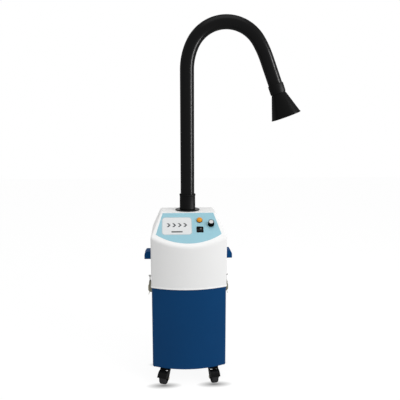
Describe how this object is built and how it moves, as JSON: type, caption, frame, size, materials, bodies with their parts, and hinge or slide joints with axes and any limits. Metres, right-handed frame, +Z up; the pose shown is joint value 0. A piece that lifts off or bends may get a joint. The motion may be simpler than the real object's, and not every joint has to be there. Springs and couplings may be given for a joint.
{
  "type": "solder fume extractor",
  "caption": "Floor-standing solder fume extractor: blue filter bin on swivel casters, latched white blower head with sloped control panel, bendable black hose arm with conical suction hood.",
  "frame": {"origin": "on the floor under the middle of the body's width and depth", "axes": "+Z up, front towards -Y, +X to the right as the operator faces the control panel"},
  "size_m": [0.6438, 0.27, 1.4677],
  "materials": {
    "blue_steel": "satin powder coat",
    "blue_plastic": "fine moulded grain",
    "white_plastic": "smooth semi-gloss",
    "white_grille": "smooth",
    "black_rubber": "smooth satin",
    "black_plastic": "semi-gloss",
    "zinc_steel": "zinc plated",
    "bright_steel": "bright plated",
    "latch_steel": "plated",
    "fork_black": "satin black",
    "wheel_black": "satin",
    "filter_felt": "coarse felt",
    "filter_board": "pressed board",
    "filter_paper": "pleated paper",
    "cassette_grey": "moulded",
    "carbon_black": "granular",
    "board_green": "solder resist",
    "motor_grey": "satin",
    "overlay_print": "printed film",
    "amber_lens": "ribbed translucent",
    "cap_silver": "spun",
    "blade_brass": "plated"
  },
  "bodies": {
    "cabinet": {"bin_shell": "blue_steel", "bin_gasket": "black_rubber", "tray_brackets": "zinc_steel", "filter_tray": "zinc_steel", "pre_filter": "filter_felt", "hepa_frame": "filter_board", "hepa_pleats": "filter_paper", "carbon_cassette": "cassette_grey", "carbon_bed": "carbon_black", "inlet_duct": "cassette_grey", "caster_stems": "fork_black", "caster_nuts": "zinc_steel", "head_shell": "white_plastic", "head_base": "zinc_steel", "panel_overlay": "overlay_print", "lamp_body": "black_plastic", "lamp_lens": "amber_lens", "speed_pot": "cassette_grey", "rocker_frame": "black_plastic", "control_board": "board_green", "mains_socket": "black_plastic", "socket_blades": "blade_brass", "exhaust_grille": "white_grille", "handle_left": "blue_plastic", "handle_right": "blue_plastic", "latch_base_left": "latch_steel", "latch_base_right": "latch_steel", "latch_keeper_left": "latch_steel", "latch_keeper_right": "latch_steel", "blower_scroll": "cassette_grey", "scroll_lid": "cassette_grey", "motor": "motor_grey", "hose_flange": "black_plastic"},
    "swivel_fl": {"caster_fork_fl": "fork_black", "caster_axle_fl": "bright_steel"},
    "wheel_fl": {"caster_wheel_fl": "wheel_black"},
    "swivel_fr": {"caster_fork_fr": "fork_black", "caster_axle_fr": "bright_steel"},
    "wheel_fr": {"caster_wheel_fr": "wheel_black"},
    "swivel_rl": {"caster_fork_rl": "fork_black", "caster_axle_rl": "bright_steel"},
    "wheel_rl": {"caster_wheel_rl": "wheel_black"},
    "swivel_rr": {"caster_fork_rr": "fork_black", "caster_axle_rr": "bright_steel"},
    "wheel_rr": {"caster_wheel_rr": "wheel_black"},
    "lever_left": {"latch_lever_left": "bright_steel"},
    "bail_left": {"latch_bail_left": "latch_steel"},
    "lever_right": {"latch_lever_right": "bright_steel"},
    "bail_right": {"latch_bail_right": "latch_steel"},
    "knob": {"speed_knob": "black_plastic", "knob_cap": "cap_silver", "pot_shaft": "zinc_steel"},
    "switch": {"rocker": "black_plastic"},
    "rotor": {"impeller": "cassette_grey", "motor_shaft": "zinc_steel"},
    "arm_base": {"hose_cuff": "black_rubber"},
    "arm": {"hose": "black_rubber", "gooseneck_core": "zinc_steel"},
    "hood_end": {"hood_cuff": "black_rubber", "hood": "black_plastic"}
  },
  "joints": [
    {"name": "caster_swivel_fl", "type": "hinge", "parent": "cabinet", "child": "swivel_fl", "pos_m": [-0.096, -0.088, 0.0577], "axis": [0, 0, 1], "continuous": true},
    {"name": "wheel_spin_fl", "type": "hinge", "parent": "swivel_fl", "child": "wheel_fl", "pos_m": [-0.10284, -0.10679, 0.025], "axis": [0.9397, -0.342, 0], "continuous": true},
    {"name": "caster_swivel_fr", "type": "hinge", "parent": "cabinet", "child": "swivel_fr", "pos_m": [0.096, -0.088, 0.0577], "axis": [0, 0, 1], "continuous": true},
    {"name": "wheel_spin_fr", "type": "hinge", "parent": "swivel_fr", "child": "wheel_fr", "pos_m": [0.09947, -0.1077, 0.025], "axis": [0.9848, 0.1736, 0], "continuous": true},
    {"name": "caster_swivel_rl", "type": "hinge", "parent": "cabinet", "child": "swivel_rl", "pos_m": [-0.096, 0.088, 0.0577], "axis": [0, 0, 1], "continuous": true},
    {"name": "wheel_spin_rl", "type": "hinge", "parent": "swivel_rl", "child": "wheel_rl", "pos_m": [-0.10084, 0.06859, 0.025], "axis": [0.9703, -0.2419, 0], "continuous": true},
    {"name": "caster_swivel_rr", "type": "hinge", "parent": "cabinet", "child": "swivel_rr", "pos_m": [0.096, 0.088, 0.0577], "axis": [0, 0, 1], "continuous": true},
    {"name": "wheel_spin_rr", "type": "hinge", "parent": "swivel_rr", "child": "wheel_rr", "pos_m": [0.10016, 0.06844, 0.025], "axis": [0.9781, 0.2079, 0], "continuous": true},
    {"name": "latch_open_left", "type": "hinge", "parent": "cabinet", "child": "lever_left", "pos_m": [-0.1615, 0, 0.375], "axis": [0, 1, 0], "range_deg": [0, 100]},
    {"name": "bail_swing_left", "type": "hinge", "parent": "lever_left", "child": "bail_left", "pos_m": [-0.158, 0, 0.362], "axis": [0, 1, 0], "range_deg": [-81, 0]},
    {"name": "latch_open_right", "type": "hinge", "parent": "cabinet", "child": "lever_right", "pos_m": [0.1615, 0, 0.375], "axis": [0, -1, 0], "range_deg": [0, 100]},
    {"name": "bail_swing_right", "type": "hinge", "parent": "lever_right", "child": "bail_right", "pos_m": [0.158, 0, 0.362], "axis": [0, -1, 0], "range_deg": [-81, 0]},
    {"name": "speed_turn", "type": "hinge", "parent": "cabinet", "child": "knob", "pos_m": [0.09, -0.04831, 0.64342], "axis": [0, -0.6614, 0.7501], "range_deg": [-280, 0]},
    {"name": "switch_rock", "type": "hinge", "parent": "cabinet", "child": "switch", "pos_m": [0.045, -0.06376, 0.62314], "axis": [1, 0, 0], "range_deg": [-16, 0]},
    {"name": "fan_spin", "type": "hinge", "parent": "cabinet", "child": "rotor", "pos_m": [0, -0.03425, 0.448], "axis": [0, 0, 1], "continuous": true},
    {"name": "arm_swivel", "type": "hinge", "parent": "cabinet", "child": "arm_base", "pos_m": [0, 0.0615, 0.702], "axis": [0, 0, 1], "range_deg": [-170, 170]},
    {"name": "riser_lean", "type": "hinge", "parent": "arm_base", "child": "arm", "pos_m": [0, 0.0615, 0.87], "axis": [0, 1, 0], "range_deg": [-30, 30], "deforming": ["hose", "gooseneck_core"]},
    {"name": "arch_bend", "type": "hinge", "parent": "arm", "child": "hood_end", "pos_m": [0.15959, 0.0615, 1.43923], "axis": [0, 1, 0], "range_deg": [-60, 30], "deforming": ["hose", "gooseneck_core"]}
  ],
  "couplings": [
    {"joint": "bail_swing_left", "follows": "latch_open_left", "ratio": -0.8},
    {"joint": "bail_swing_right", "follows": "latch_open_right", "ratio": -0.8}
  ]
}
